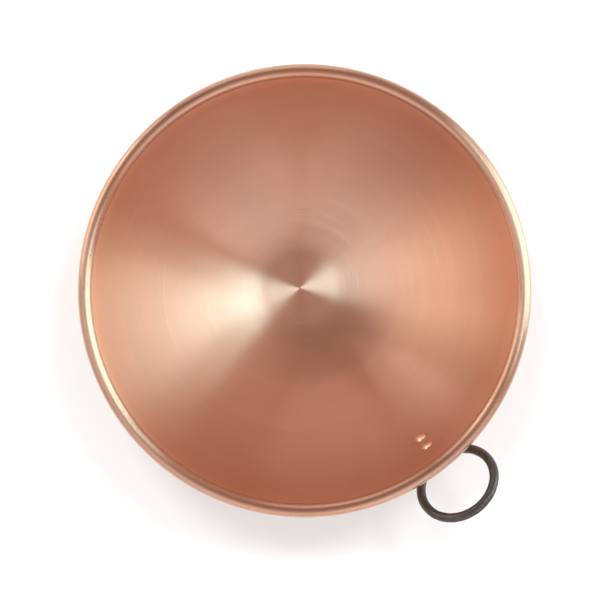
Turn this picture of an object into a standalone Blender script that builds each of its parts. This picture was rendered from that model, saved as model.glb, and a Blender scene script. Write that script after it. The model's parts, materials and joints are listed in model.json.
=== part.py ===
"""Copper beating bowl: a spun round-bottomed bowl with a rolled, wired rim and a forged hanging ring.

Built upright, in metres: +Z up, origin at the centre of the small flat that the bowl stands on, +X towards the ring.
"""
import bmesh
import bpy
from math import acos, asin, atan2, cos, hypot, pi, radians, sin, sqrt
from mathutils import Vector

# Bowl
RIM_R = 0.130            # outside radius over the rolled rim
SHEET = 0.0012           # thickness of the copper sheet
ROLL_R = 0.0039          # outside radius of the roll's round section
RIM_UPRIGHT = 0.005      # upright stretch of wall between the dome and the middle of the roll
FOOT_R = 0.022           # radius of the flat that the bowl stands on
FOOT_FILLET = 0.045      # outside radius of the curve between that flat and the dome
SEAM_GAP = 0.0005        # open seam between the end of the roll and the wall
ROLL_CLEARANCE = 0.0004  # all round the wire inside the roll

# Hanging ring
RING_R = 0.02265         # radius to the middle of the ring's wire
RING_WIRE_R = 0.0027
RING_RAISE = 45          # degrees above level that the ring stands at
RING_BEAR = 0.0004       # how far the wire sits past the middle of the eye
EYE_CLEARANCE = 0.0003   # between the wire and the eye, at every angle of the ring

# Folded strap that holds the ring
STRAP_T = 0.0015
STRAP_W = 0.010
STRAP_TAIL = 0.0065      # from the lower rivet to the strap's end
TAIL_ROUND_R = 0.0040    # rounding of the strap's two end corners
EYE_DROP = 0.030         # middle of the eye below the top of the rim
EYE_BEND_R = 0.0022      # middle radius of the bend from the eye to the outer leaf
FOLD_GAP = 0.0003        # between the strap's two leaves

# Rivets
RIVET_DROP = 0.0117      # from the eye to the upper rivet, along the wall
RIVET_PITCH = 0.0142
SHANK_R = 0.0020
SHANK_CLEARANCE = 0.0003
HEAD_R = 0.0045          # domed head inside the bowl
HEAD_H = 0.0020
PEEN_R = 0.0034          # hammered head on the strap
PEEN_H = 0.0015

TOUCH = 0.0003           # gap kept between pieces that rest on each other

# Roundness of the facets
TURN_STEPS = 64
DOME_STEPS = 14
FOOT_STEPS = 3
ROLL_STEPS = 11
WIRE_STEPS = 10
RING_STEPS = 48
RING_SECTION_STEPS = 12
EYE_STEPS = 16
BEND_STEPS = 5
LEAF_STEP = 0.004
TAIL_STEPS = 4
HEAD_STEPS = 4
RIVET_STEPS = 20

# Places worked out from the sizes above
WALL_IN_R = RIM_R - 2 * ROLL_R
WALL_OUT_R = WALL_IN_R + SHEET
FOOT_SWEEP = asin(FOOT_R / (WALL_OUT_R - FOOT_FILLET))
DOME_Z = FOOT_FILLET + (WALL_OUT_R - FOOT_FILLET) * cos(FOOT_SWEEP)
ROLL_X = RIM_R - ROLL_R
ROLL_Z = DOME_Z + RIM_UPRIGHT
RIM_Z = ROLL_Z + ROLL_R
ROLL_END = -acos(-(ROLL_R - SHEET - SEAM_GAP) / ROLL_R)
EYE_R = RING_WIRE_R + RING_BEAR + EYE_CLEARANCE
EYE_U = TOUCH + STRAP_T + EYE_R
EYE_ANGLE = asin((EYE_DROP - RIM_UPRIGHT - ROLL_R) / (WALL_OUT_R + EYE_U))
INNER_LEAF_U = TOUCH + STRAP_T / 2
OUTER_LEAF_U = INNER_LEAF_U + STRAP_T + FOLD_GAP
STRAP_END = RIVET_DROP + RIVET_PITCH + STRAP_TAIL
FACET_SAG = WALL_IN_R * (2 - cos(pi / TURN_STEPS) - cos((pi / 2 - FOOT_SWEEP) / (2 * DOME_STEPS)))


def clear_scene():
    for obj in list(bpy.data.objects):
        bpy.data.objects.remove(obj)


def metal(name, color, roughness):
    material = bpy.data.materials.new(name)
    material.use_nodes = True
    shader = material.node_tree.nodes["Principled BSDF"]
    shader.inputs["Base Color"].default_value = (*color, 1)
    shader.inputs["Metallic"].default_value = 1
    shader.inputs["Roughness"].default_value = roughness
    return material


def add_object(name, mesh, material=None):
    obj = bpy.data.objects.new(name, mesh)
    bpy.context.collection.objects.link(obj)
    if material:
        mesh.materials.append(material)
    return obj


def shade_round(mesh, sharp=30):
    mesh.shade_smooth()
    mesh.set_sharp_from_angle(angle=radians(sharp))


def arc(center, radius, start, end, steps):
    """Points (x, z) on an arc, both ends included, with angles counted from +x towards +z."""
    angles = [start + (end - start) * i / steps for i in range(steps + 1)]
    return [(center[0] + radius * cos(a), center[1] + radius * sin(a)) for a in angles]


def turned(name, profile, steps, material):
    """A solid of revolution. The profile's points (x, z) run from the axis out and down to the axis again."""
    mesh = bpy.data.meshes.new(name)
    edges = [(i, i + 1) for i in range(len(profile) - 1)]
    mesh.from_pydata([(x, 0, z) for x, z in profile], edges, [])
    obj = add_object(name, mesh, material)
    screw = obj.modifiers.new("turn", "SCREW")
    screw.steps = steps
    screw.render_steps = steps
    screw.use_merge_vertices = True
    screw.merge_threshold = 0.00001
    screw.use_smooth_shade = True
    return obj


def round_ring(name, radius, section_r, steps, section_steps, material):
    """A closed ring of round wire, flat in its own XY plane."""
    bpy.ops.mesh.primitive_torus_add(
        major_radius=radius, minor_radius=section_r, major_segments=steps, minor_segments=section_steps
    )
    obj = bpy.context.object
    obj.name = name
    obj.data.name = name
    obj.data.materials.append(material)
    shade_round(obj.data)
    return obj


def wall_surface(offset):
    """The bowl's side at an offset from its outer face, as points (x, z) from the foot's middle to the roll."""
    foot_face = -offset
    fillet = FOOT_FILLET + offset
    dome = WALL_OUT_R + offset
    up = -pi / 2
    points = [(0, foot_face)]
    points += arc((FOOT_R, FOOT_FILLET), fillet, up, up + FOOT_SWEEP, FOOT_STEPS)
    points += arc((0, DOME_Z), dome, up + FOOT_SWEEP, 0, DOME_STEPS)[1:]
    return points


def make_bowl(copper):
    """The spun sheet: up the inside, round the roll that holds the wire, and down the outside."""
    roll = (ROLL_X, ROLL_Z)
    profile = wall_surface(-SHEET)
    profile += arc(roll, ROLL_R, pi, ROLL_END, ROLL_STEPS)
    profile += arc(roll, ROLL_R - SHEET, ROLL_END, pi, ROLL_STEPS)
    profile += reversed(wall_surface(0))
    return turned("bowl", profile, TURN_STEPS, copper)


def make_rim_wire(steel):
    wire_r = ROLL_R - SHEET - ROLL_CLEARANCE
    wire = round_ring("rim_wire", ROLL_X, wire_r, TURN_STEPS, WIRE_STEPS, steel)
    wire.location = (0, 0, ROLL_Z)
    return wire


def on_wall(u, v):
    """The point u outside the wall and v along it below the eye, in the XZ plane."""
    angle = EYE_ANGLE + v / WALL_OUT_R
    radius = WALL_OUT_R + u
    return Vector((radius * cos(angle), 0, DOME_Z - radius * sin(angle)))


def leaf_rows(start):
    """Distances below the eye of one leaf's rows, closer together where its corners are rounded."""
    corner = STRAP_END - TAIL_ROUND_R
    steps = round((corner - start) / LEAF_STEP)
    rows = [start + (corner - start) * i / steps for i in range(steps)]
    return rows + [corner + TAIL_ROUND_R * sin(pi / 2 * i / TAIL_STEPS) for i in range(TAIL_STEPS + 1)]


def strap_line():
    """Middle line of the folded strip, as (u, v): up the inner leaf, round the eye, down the outer leaf."""
    middle_r = EYE_R + STRAP_T / 2
    bend_u = OUTER_LEAF_U + EYE_BEND_R
    bend_v = sqrt((middle_r + EYE_BEND_R) ** 2 - (bend_u - EYE_U) ** 2)
    eye_end = -atan2(bend_v, bend_u - EYE_U)
    line = [(INNER_LEAF_U, v) for v in reversed(leaf_rows(0)[1:])]
    line += [(u, -v) for u, v in arc((EYE_U, 0), middle_r, pi, eye_end, EYE_STEPS)]
    line += [(u, -v) for u, v in arc((bend_u, -bend_v), EYE_BEND_R, eye_end + pi, pi, BEND_STEPS)[1:]]
    line += [(OUTER_LEAF_U, v) for v in leaf_rows(bend_v)[1:]]
    return line


def strap_half_width(v):
    """Half the strap's width, which draws in round the corners of its tail."""
    past = max(0, v - (STRAP_END - TAIL_ROUND_R))
    return STRAP_W / 2 - TAIL_ROUND_R + sqrt(max(0, TAIL_ROUND_R ** 2 - past ** 2))


def make_strap(iron):
    """The strip: one four-cornered row at each point of its middle line, joined to the next."""
    line = strap_line()
    bm = bmesh.new()
    rows = []
    for i, (u, v) in enumerate(line):
        before, after = line[max(i - 1, 0)], line[min(i + 1, len(line) - 1)]
        du, dv = after[0] - before[0], after[1] - before[1]
        half_t = STRAP_T / 2 / hypot(du, dv)
        half_w = strap_half_width(v)
        corners = [(-1, -1), (1, -1), (1, 1), (-1, 1)]
        points = [on_wall(u - s * dv * half_t, v + s * du * half_t) + Vector((0, y * half_w, 0)) for s, y in corners]
        rows.append([bm.verts.new(p) for p in points])
    for a, b in zip(rows, rows[1:]):
        for k in range(4):
            bm.faces.new((a[k], a[k - 1], b[k - 1], b[k]))
    bm.faces.new(rows[0])
    bm.faces.new(rows[-1])
    bmesh.ops.recalc_face_normals(bm, faces=bm.faces)
    mesh = bpy.data.meshes.new("ring_strap")
    bm.to_mesh(mesh)
    bm.free()
    shade_round(mesh)
    return add_object("ring_strap", mesh, iron)


def rivet_frame(v):
    """A rivet's place on the wall's inner face and its turn, with the rivet's +Z into the bowl."""
    angle = EYE_ANGLE + v / WALL_OUT_R
    return on_wall(-SHEET, v), (0, angle - pi / 2, 0)


def head_profile(radius, height, base_z, side):
    """Half the outline of a domed head, from its crown to its edge. side is 1 above the base and -1 below it."""
    dome_r = (radius ** 2 + height ** 2) / (2 * height)
    half = asin(radius / dome_r)
    crown = arc((0, base_z + side * (height - dome_r)), dome_r, side * pi / 2, side * (pi / 2 - half), HEAD_STEPS)
    return [(0, crown[0][1])] + crown[1:]


def make_rivet(name, v, copper):
    """Domed head inside the bowl, shank through wall and both leaves, hammered head on the strap."""
    head_z = TOUCH + FACET_SAG
    peen_z = -(SHEET + 2 * TOUCH + 2 * STRAP_T + FOLD_GAP)
    profile = head_profile(HEAD_R, HEAD_H, head_z, 1)
    profile += [(SHANK_R, head_z), (SHANK_R, peen_z)]
    profile += reversed(head_profile(PEEN_R, PEEN_H, peen_z, -1))
    rivet = turned(name, profile, RIVET_STEPS, copper)
    rivet.location, rivet.rotation_euler = rivet_frame(v)
    return rivet


def rivet_hole(v):
    """A round cutter through the wall and the strap."""
    bpy.ops.mesh.primitive_cylinder_add(vertices=RIVET_STEPS, radius=SHANK_R + SHANK_CLEARANCE, depth=RIVET_PITCH)
    cutter = bpy.context.object
    cutter.name = "rivet_hole_cutter"
    cutter.location, cutter.rotation_euler = rivet_frame(v)
    return cutter


def cut(obj, cutter):
    """Takes the cutter's shape out of an object, and keeps the cutter out of the model."""
    cutter.hide_render = True
    cutter.display_type = "WIRE"
    boolean = obj.modifiers.new("rivet_hole", "BOOLEAN")
    boolean.operation = "DIFFERENCE"
    boolean.solver = "EXACT"
    boolean.object = cutter


def make_ring(iron):
    """The ring on its hinge, an empty at the middle of the eye whose +X points along the ring."""
    hinge = add_object("ring_hinge", None)
    hinge.location = on_wall(EYE_U, 0)
    hinge.rotation_euler = (0, -radians(RING_RAISE), 0)
    ring = round_ring("hanging_ring", RING_R, RING_WIRE_R, RING_STEPS, RING_SECTION_STEPS, iron)
    ring.parent = hinge
    ring.location = (RING_R - RING_BEAR, 0, 0)
    return ring


def main():
    clear_scene()
    copper = metal("spun_copper", (0.62, 0.27, 0.16), 0.32)
    rivet_copper = metal("rivet_copper", (0.82, 0.46, 0.30), 0.22)
    iron = metal("dark_iron", (0.060, 0.050, 0.048), 0.45)
    steel = metal("rim_wire_steel", (0.35, 0.34, 0.33), 0.40)
    bowl = make_bowl(copper)
    strap = make_strap(iron)
    for name, v in (("rivet_upper", RIVET_DROP), ("rivet_lower", RIVET_DROP + RIVET_PITCH)):
        cutter = rivet_hole(v)
        cut(bowl, cutter)
        cut(strap, cutter)
        make_rivet(name, v, rivet_copper)
    make_rim_wire(steel)
    make_ring(iron)


main()
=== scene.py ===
"""Copper beating bowl with a hanging ring: its finished surfaces, its stage, its light and its camera.

Lengths are in metres. +Z is up along the bowl's axis and +X points to the hanging ring.
"""
import json
from math import acos, asin, atan2, cos, hypot, pi, radians, sin, sqrt, tan

import bmesh
import bpy
from mathutils import Matrix, Vector, noise as wander


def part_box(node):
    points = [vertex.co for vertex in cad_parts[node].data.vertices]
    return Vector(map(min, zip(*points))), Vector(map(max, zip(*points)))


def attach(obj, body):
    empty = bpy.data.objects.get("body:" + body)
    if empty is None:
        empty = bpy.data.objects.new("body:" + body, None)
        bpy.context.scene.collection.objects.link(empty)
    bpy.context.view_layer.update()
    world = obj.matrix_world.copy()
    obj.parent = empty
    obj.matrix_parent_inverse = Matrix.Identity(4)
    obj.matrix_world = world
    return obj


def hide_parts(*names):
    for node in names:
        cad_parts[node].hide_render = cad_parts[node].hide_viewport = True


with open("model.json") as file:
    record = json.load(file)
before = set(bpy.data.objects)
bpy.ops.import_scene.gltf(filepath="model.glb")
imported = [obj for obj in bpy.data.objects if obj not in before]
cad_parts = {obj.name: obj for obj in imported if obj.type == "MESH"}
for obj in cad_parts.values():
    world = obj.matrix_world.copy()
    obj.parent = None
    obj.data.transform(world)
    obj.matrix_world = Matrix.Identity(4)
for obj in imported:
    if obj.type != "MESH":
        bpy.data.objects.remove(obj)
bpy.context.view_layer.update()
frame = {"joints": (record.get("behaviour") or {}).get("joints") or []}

bl_info = {
    "name": "Copper Beating Bowl",
    "version": (1, 0, 0),
    "blender": (4, 5, 0),
    "location": "View3D > Sidebar > Copper Bowl",
    "description": "Builds a spun copper beating bowl with a riveted strap and a forged hanging ring",
    "category": "Add Mesh",
}

# Places that the frame fixes
RIM_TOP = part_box("bowl")[1].z
RING_LOW, RING_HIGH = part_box("hanging_ring")
RING_MIDDLE = (RING_LOW + RING_HIGH) / 2
HINGE = Vector(frame["joints"][0]["pos_m"])
RIVETS = ("rivet_upper", "rivet_lower")

# Steps of the turned and bent shapes
FLAT_RINGS = 7
FILLET_ROWS = 8
DOME_ROWS = 44
UPRIGHT_ROWS = 3
ROLL_ROWS = 36
EYE_ROWS = 40
BEND_ROWS = 10
LEAF_ROWS = 26
TAIL_ROWS = 10
CORNER_POINTS = 4
FACE_POINTS = 10
WIDE_FACES = (1, 3)      # the strap's corners that a wide face follows
HEAD_ROWS = 12
WELD = 0.000001
GUIDE = 0.01             # radius of the guide circle that an outline is carried round

# Depths of the fine marks that the light catches
TURNED_DEPTH = 0.000007
FORGED_DEPTH = 0.00006
DRAWN_DEPTH = 0.00003
HOLLOWS = 230            # hammered hollows per metre on the strap
FACE_SHIFT = 4           # sets the hollows of the strap's two faces apart


# ---------------------------------------------------------------- settings

def length(name, description, default):
    return bpy.props.FloatProperty(
        name=name, description=description, default=default, min=0, precision=5,
        unit="LENGTH", subtype="DISTANCE",
    )


def share(name, description, default):
    return bpy.props.FloatProperty(
        name=name, description=description, default=default, min=0, max=1, subtype="FACTOR",
    )


def tint(name, description, default):
    return bpy.props.FloatVectorProperty(
        name=name, description=description, default=default, size=3, min=0, max=1, subtype="COLOR",
    )


def steps(name, description, default):
    return bpy.props.IntProperty(name=name, description=description, default=default, min=8, max=1024)


class BowlSettings(bpy.types.PropertyGroup):
    """Sizes and finish of the spun copper sheet"""
    rim_radius: length("Rim Radius", "Outside radius over the rolled rim", 0.130)
    sheet: length("Sheet", "Thickness of the copper sheet", 0.0012)
    roll_radius: length("Roll Radius", "Outside radius of the rolled rim's round section", 0.0039)
    upright: length("Upright", "Upright wall between the dome and the middle of the roll", 0.005)
    foot_radius: length("Foot Radius", "Radius of the flat that the bowl stands on", 0.022)
    foot_fillet: length("Foot Fillet", "Outside radius of the curve between the flat and the dome", 0.045)
    seam_gap: length("Seam Gap", "Open seam between the end of the roll and the wall", 0.0005)
    segments: steps("Segments", "Steps round the bowl", 256)
    copper: tint("Copper", "Colour of clean copper", (0.925, 0.63, 0.495))
    tarnish: tint("Tarnish", "Colour of the faint brown film", (0.78, 0.39, 0.25))
    rim_copper: tint("Rim Copper", "Colour of the handled copper on the roll", (0.70, 0.45, 0.335))
    roughness: share("Roughness", "Roughness of the turned copper", 0.30)
    rim_roughness: share("Rim Roughness", "Roughness of the burnished roll", 0.26)
    grain: share("Grain", "How far the turning marks stretch the highlights", 1.0)


class WireSettings(bpy.types.PropertyGroup):
    """Size and finish of the wire that the rim is rolled over"""
    clearance: length("Clearance", "Room all round the wire inside the roll", 0.0004)
    steel: tint("Steel", "Colour of the bright steel", (0.56, 0.55, 0.53))
    segments: steps("Segments", "Steps round the wire", 192)


class StrapSettings(bpy.types.PropertyGroup):
    """Sizes of the folded iron strip that holds the ring"""
    thickness: length("Thickness", "Thickness of the strip", 0.0015)
    width: length("Width", "Width of the strip", 0.010)
    tail_round: length("Tail Round", "Rounding of the two corners at the strip's end", 0.004)
    edge_round: length("Edge Round", "Rounding of the strip's long edges", 0.0004)
    touch: length("Touch", "Gap between the strip and the bowl", 0.0003)
    fold_gap: length("Fold Gap", "Gap between the strip's two leaves", 0.0003)
    eye_radius: length("Eye Radius", "Inside radius of the eye", 0.0034)
    bend_radius: length("Bend Radius", "Middle radius of the bend from the eye to the outer leaf", 0.0022)
    eye_drop: length("Eye Drop", "Middle of the eye below the top of the rim", 0.030)
    leaf: length("Leaf", "From the eye to the strip's end", 0.0324)
    waviness: length("Waviness", "How far the forged faces wander", 0.00016)


class RivetSettings(bpy.types.PropertyGroup):
    """Sizes of the two copper rivets"""
    drop: length("Drop", "From the eye to the upper rivet along the wall", 0.0117)
    pitch: length("Pitch", "Between the two rivets", 0.0142)
    shank: length("Shank", "Radius of the shank", 0.002)
    head_radius: length("Head Radius", "Radius of the head inside the bowl", 0.0045)
    head_height: length("Head Height", "Height of the head inside the bowl", 0.002)
    peen_radius: length("Peen Radius", "Radius of the hammered head on the strap", 0.0034)
    peen_height: length("Peen Height", "Height of the hammered head on the strap", 0.0015)
    dents: length("Dents", "Depth of the hammer's marks on the heads", 0.00022)
    copper: tint("Copper", "Colour of the rivets", (0.97, 0.67, 0.50))
    roughness: share("Roughness", "Roughness of the hammered heads", 0.22)


class RingSettings(bpy.types.PropertyGroup):
    """Size and finish of the forged hanging ring"""
    wire: length("Wire", "Radius of the ring's round wire", 0.0027)
    waviness: length("Waviness", "How far the forged wire wanders", 0.00012)
    segments: steps("Segments", "Steps round the ring", 160)
    iron: tint("Iron", "Colour of the bare dark iron", (0.112, 0.102, 0.102))
    scale: tint("Scale", "Colour of the fire scale", (0.082, 0.075, 0.076))
    rust: tint("Rust", "Colour of the faint rust", (0.125, 0.090, 0.066))


class StageSettings(bpy.types.PropertyGroup):
    """The floor, the light and the view"""
    distance: length("Camera Distance", "From the middle of the rim to the camera", 1.10)
    rim_share: share("Rim Share", "Width of the rim over the width of the picture", 0.756)
    ring_bearing: bpy.props.FloatProperty(
        name="Ring Bearing", description="Turn of the ring's side below the picture's right",
        default=radians(51.5), unit="ROTATION", subtype="ANGLE",
    )
    light_distance: length("Light Distance", "From the bowl to the lights", 1.60)
    fill: bpy.props.FloatProperty(
        name="Fill", description="Strength of the studio's own glow on the floor", default=1.1, min=0,
    )


def dome_middle(size):
    """Height of the middle of the dome's round."""
    return RIM_TOP - size.roll_radius - size.upright


def wall_radius(size):
    """Outside radius of the sheet below the roll."""
    return size.rim_radius - 2 * size.roll_radius + size.sheet


# ---------------------------------------------------------------- node helpers

def new_node(tree, kind, inputs=None, **settings):
    """Adds a node, sets what it is told, and feeds its inputs from values or from other nodes' outputs."""
    node = tree.nodes.new(kind)
    for name, value in settings.items():
        setattr(node, name, value)
    for key, value in (inputs or {}).items():
        if isinstance(value, bpy.types.NodeSocket):
            tree.links.new(value, node.inputs[key])
        else:
            node.inputs[key].default_value = value
    return node


def new_group(name, kind, inputs, outputs):
    """A node group with named sockets, each given as (name, socket type, default)."""
    tree = bpy.data.node_groups.new(name, kind)
    for socket_name, socket_type, default in inputs:
        socket = tree.interface.new_socket(socket_name, in_out="INPUT", socket_type=socket_type)
        if default is not None:
            socket.default_value = default
    for socket_name, socket_type in outputs:
        tree.interface.new_socket(socket_name, in_out="OUTPUT", socket_type=socket_type)
    return tree, tree.nodes.new("NodeGroupInput").outputs, tree.nodes.new("NodeGroupOutput").inputs


def calc(tree, operation, a, b=0.0, clamp=False):
    """The result of a one-step sum."""
    return new_node(tree, "ShaderNodeMath", {0: a, 1: b}, operation=operation, use_clamp=clamp).outputs[0]


def vector_calc(tree, operation, a, b=None, output="Vector"):
    """The result of a one-step sum on vectors."""
    inputs = {0: a} if b is None else {0: a, 1: b}
    return new_node(tree, "ShaderNodeVectorMath", inputs, operation=operation).outputs[output]


def between(tree, value, low, high, to_low=0.0, to_high=1.0):
    """Maps one range smoothly on to another."""
    node = new_node(tree, "ShaderNodeMapRange", {
        "Value": value, "From Min": low, "From Max": high, "To Min": to_low, "To Max": to_high,
    }, interpolation_type="SMOOTHSTEP")
    return node.outputs["Result"]


def noise(tree, vector, scale, detail=2.0, roughness=0.5):
    node = new_node(tree, "ShaderNodeTexNoise", {
        "Vector": vector, "Scale": scale, "Detail": detail, "Roughness": roughness,
    })
    return node.outputs[0]


def blend(tree, factor, a, b):
    """Goes from colour a to colour b."""
    node = tree.nodes.new("ShaderNodeMix")
    node.data_type = "RGBA"
    for socket, value in zip((node.inputs[0], node.inputs[6], node.inputs[7]), (factor, a, b)):
        if isinstance(value, bpy.types.NodeSocket):
            tree.links.new(value, socket)
        else:
            socket.default_value = value
    return node.outputs[2]


def ready(collection, name, make, *values):
    """The shared thing of this name, made on its first use."""
    return collection.get(name) or make(*values)


def use_group(tree, group, values):
    """Places a shader group in a material with its own values."""
    node = tree.nodes.new("ShaderNodeGroup")
    node.node_tree = group
    for name, value in values.items():
        node.inputs[name].default_value = value
    return node.outputs


def bump(tree, height, distance):
    return new_node(tree, "ShaderNodeBump", {"Height": height, "Distance": distance}).outputs[0]


def shade(color, factor=1):
    """A colour as a shader takes it, made darker or lighter by a factor."""
    return (*(factor * c for c in color), 1)


def socket_id(tree, name):
    """The identifier that a modifier knows a tree's named input by."""
    return next(s.identifier for s in tree.interface.items_tree if s.name == name and s.in_out == "INPUT")


def with_nodes(name, tree, values):
    """A mesh made by a geometry tree: the modifier is set, evaluated and then taken off again."""
    obj = bpy.data.objects.new(name, bpy.data.meshes.new(name))
    bpy.context.scene.collection.objects.link(obj)
    modifier = obj.modifiers.new(tree.name, "NODES")
    modifier.node_group = tree
    for key, value in values.items():
        modifier[socket_id(tree, key)] = value
    evaluated = obj.evaluated_get(bpy.context.evaluated_depsgraph_get())
    mesh = bpy.data.meshes.new_from_object(evaluated)
    obj.modifiers.clear()
    obj.data = mesh
    mesh.name = name
    return obj


# ---------------------------------------------------------------- outlines

def arc(center, radius, start, end, count):
    """Points (x, z) on an arc, both ends included, with angles counted from +x towards +z."""
    angles = [start + (end - start) * i / count for i in range(count + 1)]
    return [(center[0] + radius * cos(a), center[1] + radius * sin(a)) for a in angles]


def bowl_side(size, offset):
    """One face of the sheet, at an offset from the outer face, from the middle of the foot to the roll."""
    wall = wall_radius(size)
    middle = dome_middle(size)
    sweep = asin(size.foot_radius / (wall - size.foot_fillet))
    points = [(size.foot_radius * i / FLAT_RINGS, -offset) for i in range(FLAT_RINGS)]
    fillet = (size.foot_radius, size.foot_fillet)
    points += arc(fillet, size.foot_fillet + offset, -pi / 2, sweep - pi / 2, FILLET_ROWS)
    points += arc((0, middle), wall + offset, sweep - pi / 2, 0, DOME_ROWS)[1:]
    points += [(wall + offset, middle + size.upright * i / UPRIGHT_ROWS) for i in range(1, UPRIGHT_ROWS)]
    return points


def bowl_outline(size):
    """Up the inside of the sheet, over and round the roll, and down the outside."""
    roll = (size.rim_radius - size.roll_radius, dome_middle(size) + size.upright)
    inner_r = size.roll_radius - size.sheet
    roll_end = -acos((size.seam_gap - inner_r) / size.roll_radius)
    points = bowl_side(size, -size.sheet)
    points += arc(roll, size.roll_radius, pi, roll_end, ROLL_ROWS)
    points += arc(roll, inner_r, roll_end, pi, ROLL_ROWS)
    points += reversed(bowl_side(size, 0))
    return points


def head_outline(radius, height, base):
    """From the crown of a domed head to its edge, above the base; a negative height hangs below it."""
    rise = abs(height)
    side = height / rise
    dome = (radius ** 2 + rise ** 2) / (2 * rise)
    half = asin(radius / dome)
    crown = arc((0, base + side * (rise - dome)), dome, side * pi / 2, side * (pi / 2 - half), HEAD_ROWS)
    return [(0, crown[0][1])] + crown[1:]


def rivet_outline(size, sheet, strap):
    """A rivet on its own axis, from the crown of its head down to the crown of its peen."""
    head_base = strap.touch
    peen_base = -(sheet + 2 * strap.touch + 2 * strap.thickness + strap.fold_gap)
    points = head_outline(size.head_radius, size.head_height, head_base)
    points += [(size.shank, head_base), (size.shank, peen_base)]
    points += reversed(head_outline(size.peen_radius, -size.peen_height, peen_base))
    return points


def guide_object(name, points):
    """An outline as a curve for a turned shape: +X away from the axis, -Y up."""
    curve = bpy.data.curves.new(name, "CURVE")
    curve.dimensions = "3D"
    spline = curve.splines.new("POLY")
    spline.points.add(len(points) - 1)
    for point, (x, z) in zip(spline.points, points):
        point.co = (x, -z, 0, 1)
    obj = bpy.data.objects.new(name, curve)
    bpy.context.scene.collection.objects.link(obj)
    return obj


# ---------------------------------------------------------------- geometry trees

def turn_outline(tree, outline, segments):
    """Carries an outline round a small guide circle and closes it at the poles."""
    shape = new_node(tree, "GeometryNodeObjectInfo", {"Object": outline}).outputs["Geometry"]
    moved = new_node(tree, "GeometryNodeTransform", {
        "Geometry": shape, "Translation": (-GUIDE, 0, 0),
    }).outputs[0]
    circle = new_node(tree, "GeometryNodeCurvePrimitiveCircle", {
        "Resolution": segments, "Radius": GUIDE,
    }).outputs[0]
    turned = new_node(tree, "GeometryNodeCurveToMesh", {"Curve": circle, "Profile Curve": moved}).outputs[0]
    return new_node(tree, "GeometryNodeMergeByDistance", {"Geometry": turned, "Distance": WELD}).outputs[0]


def roughen(tree, geometry, amount, scale):
    """Pushes a surface in and out along its normals by a smooth noise, as hammering does."""
    spot = tree.nodes.new("GeometryNodeInputPosition").outputs[0]
    normal = tree.nodes.new("GeometryNodeInputNormal").outputs[0]
    either_way = calc(tree, "SUBTRACT", noise(tree, spot, scale, detail=1.0), 0.5)
    push = vector_calc(tree, "SCALE", normal)
    depth = calc(tree, "MULTIPLY", calc(tree, "MULTIPLY", either_way, 2.0), amount)
    tree.links.new(depth, push.node.inputs["Scale"])
    return new_node(tree, "GeometryNodeSetPosition", {"Geometry": geometry, "Offset": push}).outputs[0]


def finish_tree(tree, geometry, given, result):
    """Smooth shading, real geometry and the material, as every tree ends."""
    smooth = new_node(tree, "GeometryNodeSetShadeSmooth", {"Geometry": geometry}).outputs[0]
    real = new_node(tree, "GeometryNodeRealizeInstances", {"Geometry": smooth}).outputs[0]
    dressed = new_node(tree, "GeometryNodeSetMaterial", {"Geometry": real, "Material": given["Material"]})
    tree.links.new(dressed.outputs[0], result[0])
    return tree


def turned_tree():
    tree, given, result = new_group("Turned Shape", "GeometryNodeTree", [
        ("Outline", "NodeSocketObject", None),
        ("Segments", "NodeSocketInt", 64),
        ("Material", "NodeSocketMaterial", None),
    ], [("Geometry", "NodeSocketGeometry")])
    return finish_tree(tree, turn_outline(tree, given["Outline"], given["Segments"]), given, result)


def wire_ring_tree():
    tree, given, result = new_group("Wire Ring", "GeometryNodeTree", [
        ("Radius", "NodeSocketFloat", 0.02),
        ("Wire", "NodeSocketFloat", 0.002),
        ("Segments", "NodeSocketInt", 96),
        ("Section Steps", "NodeSocketInt", 20),
        ("Waviness", "NodeSocketFloat", 0.0),
        ("Waviness Scale", "NodeSocketFloat", 200.0),
        ("Middle", "NodeSocketVector", None),
        ("Tilt", "NodeSocketFloat", 0.0),
        ("Material", "NodeSocketMaterial", None),
    ], [("Geometry", "NodeSocketGeometry")])
    path = new_node(tree, "GeometryNodeCurvePrimitiveCircle", {
        "Resolution": given["Segments"], "Radius": given["Radius"],
    }).outputs[0]
    section = new_node(tree, "GeometryNodeCurvePrimitiveCircle", {
        "Resolution": given["Section Steps"], "Radius": given["Wire"],
    }).outputs[0]
    wire = new_node(tree, "GeometryNodeCurveToMesh", {"Curve": path, "Profile Curve": section}).outputs[0]
    turn = new_node(tree, "ShaderNodeCombineXYZ", {"Y": given["Tilt"]}).outputs[0]
    placed = new_node(tree, "GeometryNodeTransform", {
        "Geometry": wire, "Translation": given["Middle"], "Rotation": turn,
    }).outputs[0]
    forged = roughen(tree, placed, given["Waviness"], given["Waviness Scale"])
    return finish_tree(tree, forged, given, result)


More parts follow.
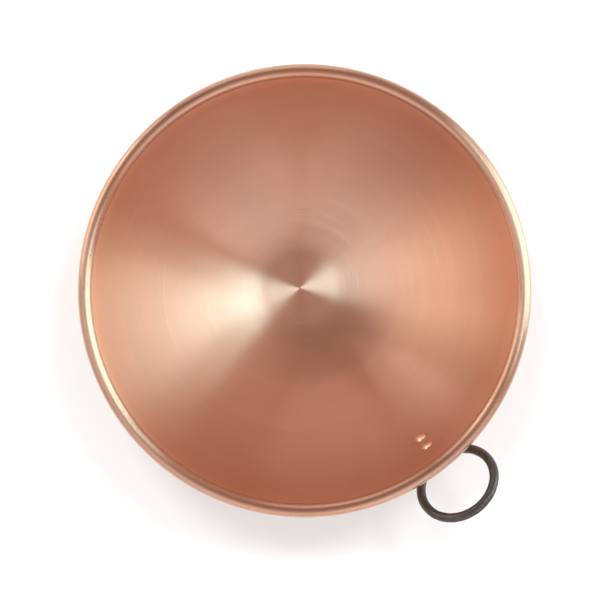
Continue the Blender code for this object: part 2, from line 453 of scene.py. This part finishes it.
def rivets_tree():
    tree, given, result = new_group("Rivets", "GeometryNodeTree", [
        ("Outline", "NodeSocketObject", None),
        ("Spots", "NodeSocketObject", None),
        ("Segments", "NodeSocketInt", 48),
        ("Dents", "NodeSocketFloat", 0.0001),
        ("Dent Scale", "NodeSocketFloat", 300.0),
        ("Material", "NodeSocketMaterial", None),
    ], [("Geometry", "NodeSocketGeometry")])
    turned = turn_outline(tree, given["Outline"], given["Segments"])
    rivet = new_node(tree, "GeometryNodeSetMaterial", {
        "Geometry": turned, "Material": given["Material"],
    }).outputs[0]
    spots = new_node(tree, "GeometryNodeObjectInfo", {"Object": given["Spots"]}).outputs["Geometry"]
    turn = new_node(tree, "GeometryNodeInputNamedAttribute", {
        "Name": "turn",
    }, data_type="FLOAT_VECTOR").outputs[0]
    placed = new_node(tree, "GeometryNodeInstanceOnPoints", {
        "Points": spots, "Instance": rivet, "Rotation": turn,
    }).outputs[0]
    real = new_node(tree, "GeometryNodeRealizeInstances", {"Geometry": placed}).outputs[0]
    hammered = roughen(tree, real, given["Dents"], given["Dent Scale"])
    return finish_tree(tree, hammered, given, result)


# ---------------------------------------------------------------- shader groups

# Marks where the tool dug in: distance from the pole along the wall, bearing and half its spread in degrees
TOOL_MARKS = [
    (0.0285, 60, 14), (0.0325, 66, 10), (0.0375, 57, 12), (0.0225, 322, 18), (0.0340, 330, 14),
    (0.0420, 326, 16), (0.0480, 140, 12), (0.0615, 250, 10), (0.0945, 237, 24), (0.0960, 70, 16),
]
MARK_WIDTH = 0.00035
MARK_CORE = 0.3          # share of a mark's width and of its length that is at full strength
MARK_ENDS = 0.4


def turning_marks_group():
    """Fine rings left by the spinning tool, with a faint brown film and stray scratches."""
    tree, given, result = new_group("Turning Marks", "ShaderNodeTree", [
        ("Middle Height", "NodeSocketFloat", 0.12),
        ("Rings per Metre", "NodeSocketFloat", 1100.0),
        ("Bands per Metre", "NodeSocketFloat", 130.0),
        ("Film", "NodeSocketFloat", 0.5),
        ("Film Start", "NodeSocketFloat", 0.05),
        ("Film End", "NodeSocketFloat", 0.12),
    ], [
        ("Height", "NodeSocketFloat"), ("Tone", "NodeSocketFloat"), ("Film", "NodeSocketFloat"),
        ("Scratches", "NodeSocketFloat"),
    ])
    spot = tree.nodes.new("ShaderNodeTexCoord").outputs["Object"]
    lift = new_node(tree, "ShaderNodeCombineXYZ", {"Z": given["Middle Height"]}).outputs[0]
    from_middle = vector_calc(tree, "SUBTRACT", spot, lift)
    reach = vector_calc(tree, "LENGTH", from_middle, output="Value")
    parts = new_node(tree, "ShaderNodeSeparateXYZ", {0: from_middle}).outputs
    flat = new_node(tree, "ShaderNodeCombineXYZ", {"X": parts["X"], "Y": parts["Y"]}).outputs[0]
    away = vector_calc(tree, "LENGTH", flat, output="Value")
    slope = calc(tree, "ARCTAN2", away, calc(tree, "MULTIPLY", parts["Z"], -1.0))
    along = calc(tree, "MULTIPLY", slope, reach)
    heading = vector_calc(tree, "NORMALIZE", flat)
    heads = new_node(tree, "ShaderNodeSeparateXYZ", {0: heading}).outputs

    def ring_noise(per_metre, spread, detail=2.0, rough=0.6):
        """Noise that runs in rings and changes slowly along each ring."""
        lookup = new_node(tree, "ShaderNodeCombineXYZ", {
            "X": calc(tree, "MULTIPLY", heads["X"], spread),
            "Y": calc(tree, "MULTIPLY", heads["Y"], spread),
            "Z": calc(tree, "MULTIPLY", along, per_metre),
        }).outputs[0]
        return noise(tree, lookup, 1.0, detail, rough)

    fine = ring_noise(given["Rings per Metre"], 1.6)
    bands = ring_noise(given["Bands per Metre"], 0.5)
    height = calc(tree, "ADD", fine, calc(tree, "MULTIPLY", bands, 0.25))
    both = calc(tree, "ADD", calc(tree, "MULTIPLY", fine, 0.4), calc(tree, "MULTIPLY", bands, 0.6))
    tone = between(tree, both, 0.2, 0.8)
    cloud = noise(tree, spot, 14.0, 4.0, 0.6)
    high = between(tree, parts["Z"], calc(tree, "SUBTRACT", given["Film Start"], given["Middle Height"]),
                   calc(tree, "SUBTRACT", given["Film End"], given["Middle Height"]))
    patches = calc(tree, "ADD", calc(tree, "MULTIPLY", between(tree, cloud, 0.42, 0.72), 0.3), high)
    film = calc(tree, "MULTIPLY", patches, given["Film"], clamp=True)
    scratches = 0.0
    for distance, bearing_degrees, spread in TOOL_MARKS:
        turn = radians(bearing_degrees)
        off = calc(tree, "ABSOLUTE", calc(tree, "SUBTRACT", along, distance))
        line = between(tree, off, MARK_WIDTH, MARK_CORE * MARK_WIDTH)
        facing = vector_calc(tree, "DOT_PRODUCT", heading, (cos(turn), sin(turn), 0), output="Value")
        window = between(tree, facing, cos(radians(spread)), cos(radians(MARK_ENDS * spread)))
        scratches = calc(tree, "ADD", scratches, calc(tree, "MULTIPLY", line, window))
    for socket, value in zip(result, (height, tone, film, scratches)):
        tree.links.new(value, socket)
    return tree


def forge_marks_group():
    """Uneven fire scale, faint rust in the hollows and rubbed high spots on worked iron."""
    tree, given, result = new_group("Forge Marks", "ShaderNodeTree", [
        ("Coarse Scale", "NodeSocketFloat", 260.0),
        ("Fine Scale", "NodeSocketFloat", 1400.0),
    ], [
        ("Height", "NodeSocketFloat"), ("Scale", "NodeSocketFloat"), ("Rust", "NodeSocketFloat"),
        ("Rubbed", "NodeSocketFloat"),
    ])
    spot = tree.nodes.new("ShaderNodeTexCoord").outputs["Object"]
    coarse = noise(tree, spot, given["Coarse Scale"], 3.0, 0.55)
    fine = noise(tree, spot, given["Fine Scale"], 3.0, 0.6)
    height = calc(tree, "ADD", calc(tree, "MULTIPLY", coarse, 1.4), calc(tree, "MULTIPLY", fine, 0.5))
    scale = between(tree, coarse, 0.38, 0.62)
    rust = calc(tree, "MULTIPLY", between(tree, fine, 0.50, 0.75), between(tree, coarse, 0.60, 0.40))
    rubbed = between(tree, height, 1.00, 1.35)
    for socket, value in zip(result, (height, scale, rust, rubbed)):
        tree.links.new(value, socket)
    return tree


# ---------------------------------------------------------------- materials

def new_material(name, **constants):
    """A material whose shader has these plain values, with names as on the shader's sockets."""
    material = bpy.data.materials.new(name)
    material.use_nodes = True
    tree = material.node_tree
    shader = tree.nodes["Principled BSDF"]
    for key, value in constants.items():
        shader.inputs[key.replace("_", " ")].default_value = value
    return material, tree, shader


def feed(tree, shader, **links):
    for key, value in links.items():
        tree.links.new(value, shader.inputs[key.replace("_", " ")])


SCRATCH_HIGHLIGHT = (1.0, 0.84, 0.76, 1.0)     # painted highlight along a tool mark: lighter copper standing in for the light its edges catch
SCRATCH_HIGHLIGHT_SHARE = 0.5
SCRAPED_DEPTH = 0.8      # depth of a tool mark over that of the turning marks
TURNED_SPREAD = 0.02     # how far the roughness goes either way along the turning marks
ACROSS = 0.25            # quarter of a turn, so that highlights spread across the turning marks


def copper_material(size):
    """Turned copper: tone and gloss follow the tool's rings, the tool marks carry a painted highlight, and
    the roll is darker from handling.
    """
    material, tree, shader = new_material(
        "spun_copper", Metallic=1.0, Anisotropic=size.grain, Anisotropic_Rotation=ACROSS,
    )
    base = dome_middle(size)
    group = ready(bpy.data.node_groups, "Turning Marks", turning_marks_group)
    marks = use_group(tree, group, {"Middle Height": base})
    turned = blend(tree, marks["Tone"], shade(size.copper, 0.94), shade(size.copper))
    # painted highlight: the tool marks are real grooves in the bump, and are also made lighter in colour to
    # stand in for the light they catch
    highlight_share_mask = calc(tree, "MULTIPLY", marks["Scratches"], SCRATCH_HIGHLIGHT_SHARE)
    with_scratch_highlight = blend(tree, highlight_share_mask, turned, SCRATCH_HIGHLIGHT)
    filmed = blend(tree, marks["Film"], with_scratch_highlight, shade(size.tarnish))
    spot = tree.nodes.new("ShaderNodeTexCoord").outputs["Object"]
    height = new_node(tree, "ShaderNodeSeparateXYZ", {0: spot}).outputs["Z"]
    on_roll = between(tree, height, base + 0.3 * size.upright, base + size.upright)
    handled = blend(tree, on_roll, filmed, shade(size.rim_copper))
    rough = between(
        tree, marks["Tone"], 0, 1, size.roughness + TURNED_SPREAD, size.roughness - TURNED_SPREAD,
    )
    burnish = calc(tree, "MULTIPLY", on_roll, size.roughness - size.rim_roughness)
    groove = calc(tree, "MULTIPLY", marks["Scratches"], SCRAPED_DEPTH)
    ridge = calc(tree, "SUBTRACT", marks["Height"], groove)
    feed(
        tree, shader, Base_Color=handled, Roughness=calc(tree, "SUBTRACT", rough, burnish),
        Normal=bump(tree, ridge, TURNED_DEPTH),
        Tangent=new_node(tree, "ShaderNodeTangent", direction_type="RADIAL", axis="Z").outputs[0],
    )
    return material


def forge_marks(tree, coarse, fine):
    """The forge marks at a piece's own scale, as features per metre."""
    group = ready(bpy.data.node_groups, "Forge Marks", forge_marks_group)
    return use_group(tree, group, {"Coarse Scale": coarse, "Fine Scale": fine})


def rivet_material(size):
    """Hammered copper, dulled in its hollows."""
    material, tree, shader = new_material("hammered_copper", Metallic=1.0)
    marks = forge_marks(tree, 420.0, 2200.0)
    worn = blend(tree, marks["Rust"], shade(size.copper), shade(size.copper, 0.55))
    rough = between(tree, marks["Scale"], 0, 1, size.roughness, size.roughness + 0.12)
    feed(tree, shader, Base_Color=worn, Roughness=rough, Normal=bump(tree, marks["Height"], FORGED_DEPTH))
    return material


def iron_material(size):
    """Forged iron, shared by the ring and its strap: dark scale, faint rust and rubbed high spots."""
    material, tree, shader = new_material("forged_iron")
    marks = forge_marks(tree, 260.0, 1400.0)
    scaled = blend(tree, marks["Scale"], shade(size.iron), shade(size.scale))
    rusted = blend(tree, marks["Rust"], scaled, shade(size.rust))
    rubbed = blend(tree, marks["Rubbed"], rusted, shade(size.iron, 1.8))
    metallic = between(tree, marks["Rust"], 0, 1, 0.92, 0.30)
    rough = between(tree, marks["Rubbed"], 0, 1, 0.40, 0.26)
    feed(
        tree, shader, Base_Color=rubbed, Metallic=metallic, Roughness=rough,
        Normal=bump(tree, marks["Height"], FORGED_DEPTH),
    )
    return material


def steel_material(size):
    """Drawn steel wire, slightly dull in patches."""
    material, tree, shader = new_material("rim_steel", Metallic=1.0)
    marks = forge_marks(tree, 90.0, 900.0)
    worn = blend(tree, marks["Scale"], shade(size.steel), shade(size.steel, 0.6))
    rough = between(tree, marks["Scale"], 0, 1, 0.30, 0.45)
    feed(tree, shader, Base_Color=worn, Roughness=rough, Normal=bump(tree, marks["Height"], DRAWN_DEPTH))
    return material


# ---------------------------------------------------------------- pieces

def keep(obj, body, slot, *nodes):
    """Settles a finished piece: what it rides on, and the parts that it stands for, which it hides. The slot
    is not used.
    """
    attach(obj, body)
    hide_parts(*nodes)


def on_wall(strap, size, u, v):
    """The point u outside the wall and v along it below the eye, in the XZ plane."""
    wall = wall_radius(size)
    eye_u = strap.touch + strap.thickness + strap.eye_radius
    start = asin((strap.eye_drop - size.upright - size.roll_radius) / (wall + eye_u))
    angle = start + v / wall
    return Vector(((wall + u) * cos(angle), 0, dome_middle(size) - (wall + u) * sin(angle))), angle


class COPPERBOWL_OT_bowl(bpy.types.Operator):
    """Spin the copper sheet with its foot, its dome and its rolled rim"""
    bl_idname = "copperbowl.bowl"
    bl_label = "Spun Bowl"

    def execute(self, context):
        size = context.scene.copper_bowl
        outline = guide_object("bowl_outline", bowl_outline(size))
        bowl = with_nodes("bowl_sheet", turned_tree(), {
            "Outline": outline, "Segments": size.segments, "Material": copper_material(size),
        })
        bpy.data.objects.remove(outline)
        keep(bowl, "bowl", "bowl_copper", "bowl")
        return {"FINISHED"}


class COPPERBOWL_OT_rim_wire(bpy.types.Operator):
    """Lay the steel wire inside the rolled rim"""
    bl_idname = "copperbowl.rim_wire"
    bl_label = "Rim Wire"

    def execute(self, context):
        size = context.scene.copper_wire
        bowl = context.scene.copper_bowl
        wire = with_nodes("rim_wire_ring", wire_ring_tree(), {
            "Radius": bowl.rim_radius - bowl.roll_radius,
            "Wire": bowl.roll_radius - bowl.sheet - size.clearance,
            "Segments": size.segments,
            "Middle": (0, 0, RIM_TOP - bowl.roll_radius),
            "Material": steel_material(size),
        })
        keep(wire, "bowl", "rim_wire_steel", "rim_wire")
        return {"FINISHED"}


def strap_line(strap):
    """Middle line of the folded strip, as (u, v): up the inner leaf, round the eye, down the outer leaf."""
    inner_u = strap.touch + strap.thickness / 2
    outer_u = inner_u + strap.thickness + strap.fold_gap
    eye_u = strap.touch + strap.thickness + strap.eye_radius
    middle_r = strap.eye_radius + strap.thickness / 2
    bend_u = outer_u + strap.bend_radius
    bend_v = sqrt((middle_r + strap.bend_radius) ** 2 - (bend_u - eye_u) ** 2)
    eye_end = -atan2(bend_v, bend_u - eye_u)
    line = [(inner_u, v) for v in reversed(leaf_rows(strap, 0)[1:])]
    line += [(u, -v) for u, v in arc((eye_u, 0), middle_r, pi, eye_end, EYE_ROWS)]
    line += [(u, -v) for u, v in arc((bend_u, -bend_v), strap.bend_radius, eye_end + pi, pi, BEND_ROWS)[1:]]
    line += [(outer_u, v) for v in leaf_rows(strap, bend_v)[1:]]
    return line


def leaf_rows(strap, start):
    """Distances below the eye of one leaf's rows, closer together where its corners are rounded."""
    corner = strap.leaf - strap.tail_round
    rows = [start + (corner - start) * i / LEAF_ROWS for i in range(LEAF_ROWS)]
    return rows + [corner + strap.tail_round * sin(pi / 2 * i / TAIL_ROWS) for i in range(TAIL_ROWS + 1)]


def strap_section(strap, half_width):
    """The strip's cut end, as (across the thickness, across the width), with rounded edges."""
    edge = min(strap.edge_round, half_width)
    half_t = strap.thickness / 2
    points = []
    reach = half_width - edge
    for turn, (s, y) in enumerate([(1, 1), (-1, 1), (-1, -1), (1, -1)]):
        middle = (s * (half_t - edge), y * reach)
        points += arc(middle, edge, turn * pi / 2, (turn + 1) * pi / 2, CORNER_POINTS)
        if turn in WIDE_FACES:
            points += [(s * half_t, y * reach * (1 - 2 * k / FACE_POINTS)) for k in range(1, FACE_POINTS)]
    return points


class COPPERBOWL_OT_strap(bpy.types.Operator):
    """Fold the iron strip round its eye and down the wall"""
    bl_idname = "copperbowl.strap"
    bl_label = "Ring Strap"

    def execute(self, context):
        strap = context.scene.copper_strap
        size = context.scene.copper_bowl
        line = strap_line(strap)
        bm = bmesh.new()
        rows = []
        for i, (u, v) in enumerate(line):
            before, after = line[max(i - 1, 0)], line[min(i + 1, len(line) - 1)]
            du, dv = after[0] - before[0], after[1] - before[1]
            run = hypot(du, dv)
            into_end = max(0, v - (strap.leaf - strap.tail_round))
            corner = sqrt(max(0, strap.tail_round ** 2 - into_end ** 2))
            half = strap.width / 2 - strap.tail_round + corner
            row = []
            for s, y in strap_section(strap, half):
                s += strap.waviness * wander.noise(Vector((u + FACE_SHIFT * s, v, y)) * HOLLOWS)
                place = on_wall(strap, size, u - s * dv / run, v + s * du / run)[0]
                row.append(bm.verts.new(place + Vector((0, y, 0))))
            rows.append(row)
        for a, b in zip(rows, rows[1:]):
            for k in range(len(a)):
                bm.faces.new((a[k], a[k - 1], b[k - 1], b[k]))
        bm.faces.new(rows[0])
        bm.faces.new(rows[-1])
        bmesh.ops.recalc_face_normals(bm, faces=bm.faces)
        for face in bm.faces:
            face.smooth = len(face.verts) == 4
        mesh = bpy.data.meshes.new("forged_strap")
        bm.to_mesh(mesh)
        bm.free()
        obj = bpy.data.objects.new("forged_strap", mesh)
        context.scene.collection.objects.link(obj)
        iron = ready(bpy.data.materials, "forged_iron", iron_material, context.scene.copper_ring)
        mesh.materials.append(iron)
        keep(obj, "bowl", "dark_iron", "ring_strap")
        return {"FINISHED"}


class COPPERBOWL_OT_rivets(bpy.types.Operator):
    """Set the two copper rivets through the wall and the strap"""
    bl_idname = "copperbowl.rivets"
    bl_label = "Rivets"

    def execute(self, context):
        size = context.scene.copper_rivets
        bowl = context.scene.copper_bowl
        strap = context.scene.copper_strap
        places = [on_wall(strap, bowl, -bowl.sheet, size.drop + k * size.pitch) for k in range(2)]
        mesh = bpy.data.meshes.new("rivet_spots")
        mesh.from_pydata([point for point, angle in places], [], [])
        turns = mesh.attributes.new("turn", "FLOAT_VECTOR", "POINT")
        for item, (point, angle) in zip(turns.data, places):
            item.vector = (0, angle - pi / 2, 0)
        spots = bpy.data.objects.new("rivet_spots", mesh)
        context.scene.collection.objects.link(spots)
        outline = guide_object("rivet_outline", rivet_outline(size, bowl.sheet, strap))
        rivets = with_nodes("copper_rivets", rivets_tree(), {
            "Outline": outline, "Spots": spots, "Dents": size.dents, "Material": rivet_material(size),
        })
        bpy.data.objects.remove(outline)
        bpy.data.objects.remove(spots)
        keep(rivets, "bowl", "rivet_copper", *RIVETS)
        return {"FINISHED"}


class COPPERBOWL_OT_ring(bpy.types.Operator):
    """Forge the round hanging ring that swings in the strap's eye"""
    bl_idname = "copperbowl.ring"
    bl_label = "Hanging Ring"

    def execute(self, context):
        size = context.scene.copper_ring
        reach = RING_MIDDLE - HINGE
        ring = with_nodes("forged_ring", wire_ring_tree(), {
            "Radius": (RING_HIGH.y - RING_LOW.y) / 2 - size.wire,
            "Wire": size.wire,
            "Segments": size.segments,
            "Section Steps": 24,
            "Waviness": size.waviness,
            "Middle": RING_MIDDLE,
            "Tilt": -atan2(reach.z, reach.x),
            "Material": ready(bpy.data.materials, "forged_iron", iron_material, size),
        })
        keep(ring, "ring", "dark_iron", "hanging_ring")
        return {"FINISHED"}


# ---------------------------------------------------------------- stage

BOWL_MIDDLE = 0.08       # height that the lights face
LEAN_LEFT = 1.39         # degrees that the camera stands off the axis, to the left
LEAN_UP = 1.21           # and upwards
AIM_RIGHT = -0.0030      # where it aims, from the middle of the rim
AIM_UP = -0.0050
SENSOR = 36              # width of the camera's sensor, in millimetres
PLAIN = (1.0, 1.0, 1.0)
COOL = (0.68, 0.90, 1.0)
ICY = (0.52, 0.96, 1.0)
DAYLIGHT = (0.74, 1.0, 0.96)
CREAM = (1.0, 0.97, 0.80)
WARM = (1.0, 0.62, 0.38)
# name, degrees round, degrees down, width, height, watts, colour, seen in the metal
LIGHTS = [
    ("key_softbox", 11, 29, 0.97, 0.78, 3.5, ICY, True),
    ("key_core", 8, 20, 0.50, 0.50, 1.7, COOL, True),
    ("right_wall", 12, 70, 1.30, 1.10, 11.4, DAYLIGHT, True),
    ("right_edge", 40, 60, 0.35, 0.60, 0.5, DAYLIGHT, True),
    ("bottom_left_fill", 244, 50, 1.35, 1.20, 2.7, COOL, True),
    ("bottom_right_fill", 302, 50, 1.35, 1.20, 3.0, COOL, True),
    ("bottom_wall", 275, 68, 2.00, 0.70, 2.0, WARM, True),
    ("left_fill", 192, 40, 1.00, 1.10, 1.6, COOL, True),
    ("top_left_fill", 158, 68, 1.10, 0.80, 3.7, CREAM, True),
    ("top_left_edge", 138, 66, 0.60, 0.70, 1.3, PLAIN, True),
    ("top_fill", 100, 68, 1.40, 0.80, 2.1, PLAIN, True),
    ("floor_key_left", 125, 17, 0.25, 0.25, 6.5, PLAIN, False),
    ("floor_key_right", 55, 17, 0.25, 0.25, 6.5, PLAIN, False),
]

FLOOR_RADIUS = 4
FLOOR_STEPS = 96
FLOOR_COLOR = (0.82, 0.82, 0.82, 1.0)
FLOOR_GAP = 0.0002       # the floor lies this far below the foot
BACKDROP = 0.88          # how bright the surround looks past the floor
METAL_GLOW = 0.60        # how bright the surround looks in the metal
DIM_GLOW = 0.20          # and in its dim corner
DIM_CORNER = (118, 22)   # degrees round and down of the middle of the dim corner
DIM_INNER = 10           # degrees from that middle to where it starts to brighten
DIM_OUTER = 36           # and to where the full glow starts
SURROUND = (1.0, 0.65, 0.55)         # colour of the surround in the metal


def picture_axes(stage):
    """The picture's right and up, laid flat in the frame."""
    turn = stage.ring_bearing
    return Vector((cos(turn), sin(turn), 0)), Vector((-sin(turn), cos(turn), 0))


def bearing(stage, around, down):
    """A direction: degrees round from the picture's right, and degrees down from straight up."""
    right, up = picture_axes(stage)
    a, d = radians(around), radians(down)
    return right * (sin(d) * cos(a)) + up * (sin(d) * sin(a)) + Vector((0, 0, cos(d)))


def add_light(stage, name, around, down, width, height, watts, color, on_metal):
    """A softbox that faces the bowl, and lights either the metal or the floor."""
    light = bpy.data.lights.new(name, "AREA")
    light.shape = "ELLIPSE"
    light.size = width
    light.size_y = height
    light.energy = watts
    light.color = color
    obj = bpy.data.objects.new(name, light)
    bpy.context.scene.collection.objects.link(obj)
    toward = bearing(stage, around, down)
    obj.location = Vector((0, 0, BOWL_MIDDLE)) + toward * stage.light_distance
    obj.rotation_euler = toward.to_track_quat("Z", "Y").to_euler()
    obj.visible_glossy = on_metal
    obj.visible_diffuse = not on_metal


class COPPERBOWL_OT_stage(bpy.types.Operator):
    """Lay the floor, hang the lights and set up the camera"""
    bl_idname = "copperbowl.stage"
    bl_label = "Stage"

    def execute(self, context):
        scene = context.scene
        stage = scene.copper_stage
        size = scene.copper_bowl
        right, up = picture_axes(stage)
        target = Vector((0, 0, RIM_TOP - size.roll_radius)) + right * AIM_RIGHT + up * AIM_UP
        back = Vector((0, 0, 1)) - right * tan(radians(LEAN_LEFT)) + up * tan(radians(LEAN_UP))
        data = bpy.data.cameras.new("camera")
        camera = bpy.data.objects.new("camera", data)
        scene.collection.objects.link(camera)
        camera.location = target + back * stage.distance
        forward = -back.normalized()
        side = forward.cross(up).normalized()
        camera.rotation_euler = Matrix((side, side.cross(forward), -forward)).transposed().to_euler()
        data.sensor_width = SENSOR
        data.lens = SENSOR * stage.rim_share * stage.distance / (2 * size.rim_radius)
        scene.camera = camera
        self.lay_floor(scene)
        self.glow(scene, stage)
        for values in LIGHTS:
            add_light(stage, *values)
        scene.view_settings.view_transform = "Standard"
        return {"FINISHED"}

    def lay_floor(self, scene):
        """A plain pale disc just under the foot."""
        mesh = bpy.data.meshes.new("floor")
        bm = bmesh.new()
        place = Matrix.Translation((0, 0, -FLOOR_GAP))
        bmesh.ops.create_circle(bm, cap_ends=True, segments=FLOOR_STEPS, radius=FLOOR_RADIUS, matrix=place)
        bm.to_mesh(mesh)
        bm.free()
        floor = bpy.data.objects.new("floor", mesh)
        scene.collection.objects.link(floor)
        mesh.materials.append(new_material(
            "pale_floor", Base_Color=FLOOR_COLOR, Roughness=0.9, Specular_IOR_Level=0.1,
        )[0])

    def glow(self, scene, stage):
        """A white surround that the floor gets some light from and the metal gets little from."""
        world = bpy.data.worlds.new("studio")
        scene.world = world
        world.use_nodes = True
        tree = world.node_tree
        path = tree.nodes.new("ShaderNodeLightPath").outputs
        backdrop = calc(tree, "MULTIPLY", path["Is Camera Ray"], BACKDROP)
        seen = calc(tree, "MAXIMUM", backdrop, calc(tree, "MULTIPLY", path["Is Diffuse Ray"], stage.fill))
        in_metal = blend(tree, path["Is Glossy Ray"], (1, 1, 1, 1), (*SURROUND, 1))
        direction = tree.nodes.new("ShaderNodeTexCoord").outputs["Generated"]
        facing = vector_calc(tree, "DOT_PRODUCT", direction, bearing(stage, *DIM_CORNER), output="Value")
        dim = between(tree, facing, cos(radians(DIM_OUTER)), cos(radians(DIM_INNER)), METAL_GLOW, DIM_GLOW)
        strength = calc(tree, "MAXIMUM", seen, calc(tree, "MULTIPLY", path["Is Glossy Ray"], dim))
        background = tree.nodes["Background"].inputs
        tree.links.new(strength, background["Strength"])
        tree.links.new(in_metal, background["Color"])


# ---------------------------------------------------------------- panel and registration

OPERATORS = (
    COPPERBOWL_OT_bowl, COPPERBOWL_OT_rim_wire, COPPERBOWL_OT_strap, COPPERBOWL_OT_rivets, COPPERBOWL_OT_ring,
    COPPERBOWL_OT_stage,
)
GROUPS = {
    "copper_bowl": BowlSettings, "copper_wire": WireSettings, "copper_strap": StrapSettings,
    "copper_rivets": RivetSettings, "copper_ring": RingSettings, "copper_stage": StageSettings,
}


class COPPERBOWL_PT_panel(bpy.types.Panel):
    """Lists the bowl's pieces and its stage"""
    bl_label = "Copper Bowl"
    bl_idname = "COPPERBOWL_PT_panel"
    bl_space_type = "VIEW_3D"
    bl_region_type = "UI"
    bl_category = "Copper Bowl"

    def draw(self, context):
        for operator in OPERATORS:
            self.layout.operator(operator.bl_idname)


def register():
    for cls in (*GROUPS.values(), *OPERATORS, COPPERBOWL_PT_panel):
        bpy.utils.register_class(cls)
    for name, group in GROUPS.items():
        setattr(bpy.types.Scene, name, bpy.props.PointerProperty(type=group))


def unregister():
    for name in GROUPS:
        delattr(bpy.types.Scene, name)
    for cls in reversed((*GROUPS.values(), *OPERATORS, COPPERBOWL_PT_panel)):
        bpy.utils.unregister_class(cls)


def main():
    register()
    bpy.ops.copperbowl.bowl()
    bpy.ops.copperbowl.rim_wire()
    bpy.ops.copperbowl.strap()
    bpy.ops.copperbowl.rivets()
    bpy.ops.copperbowl.ring()
    bpy.ops.copperbowl.stage()


if __name__ == "__main__":
    main()
